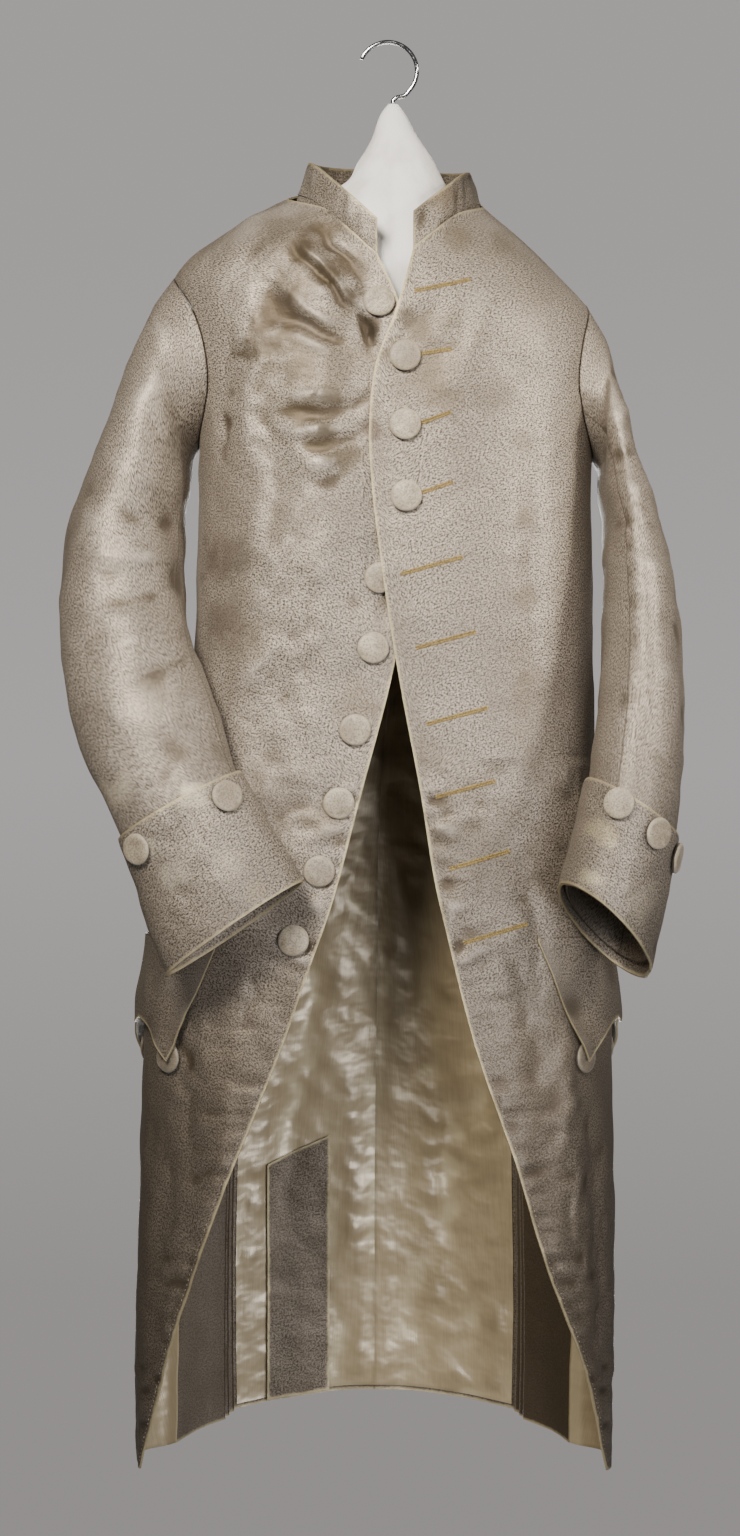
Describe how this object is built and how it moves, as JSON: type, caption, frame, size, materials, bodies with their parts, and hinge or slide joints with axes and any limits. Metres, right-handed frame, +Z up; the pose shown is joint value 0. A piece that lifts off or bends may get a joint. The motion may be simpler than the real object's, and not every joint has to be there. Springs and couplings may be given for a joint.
{
  "type": "frock coat on a padded hanger",
  "caption": "Man's silk frock coat with a stand collar, cut-away skirts, turned-up cuffs and pleated sides, hanging on a padded hanger with a wire hook.",
  "frame": {"origin": "the point of the hook's inner face that bears on a rail, at the hook's top", "axes": "+Z up, +X to the wearer's left, the coat's front faces -Y"},
  "size_m": [0.519, 0.3427, 1.2075],
  "materials": {
    "silk": "satin",
    "satin": "satin",
    "button_silk": "satin",
    "muslin": "matte",
    "steel": "polished"
  },
  "bodies": {
    "root": {"back_left": "silk", "back_right": "silk", "button_cuff_left_1": "button_silk", "button_cuff_left_2": "button_silk", "button_cuff_left_3": "button_silk", "button_cuff_right_1": "button_silk", "button_cuff_right_2": "button_silk", "button_flap_left_1": "button_silk", "button_flap_left_2": "button_silk", "button_flap_right_1": "button_silk", "button_flap_right_2": "button_silk", "button_front_01": "button_silk", "button_front_02": "button_silk", "button_front_03": "button_silk", "button_front_04": "button_silk", "button_front_05": "button_silk", "button_front_06": "button_silk", "button_front_07": "button_silk", "button_front_08": "button_silk", "button_front_09": "button_silk", "button_front_10": "button_silk", "button_hip_left": "button_silk", "button_hip_right": "button_silk", "collar": "silk", "cuff_left": "silk", "cuff_right": "silk", "flap_left": "silk", "flap_right": "silk", "front_left": "silk", "front_right": "silk", "hanger_hook": "steel", "hanger_pad": "muslin", "lining_back_left": "satin", "lining_back_right": "satin", "lining_front_left": "satin", "lining_front_right": "satin", "pleats_left": "silk", "pleats_right": "silk", "sleeve_under_left": "silk", "sleeve_under_right": "silk", "sleeve_upper_left": "silk", "sleeve_upper_right": "silk", "vent_facing": "silk"}
  },
  "joints": []
}
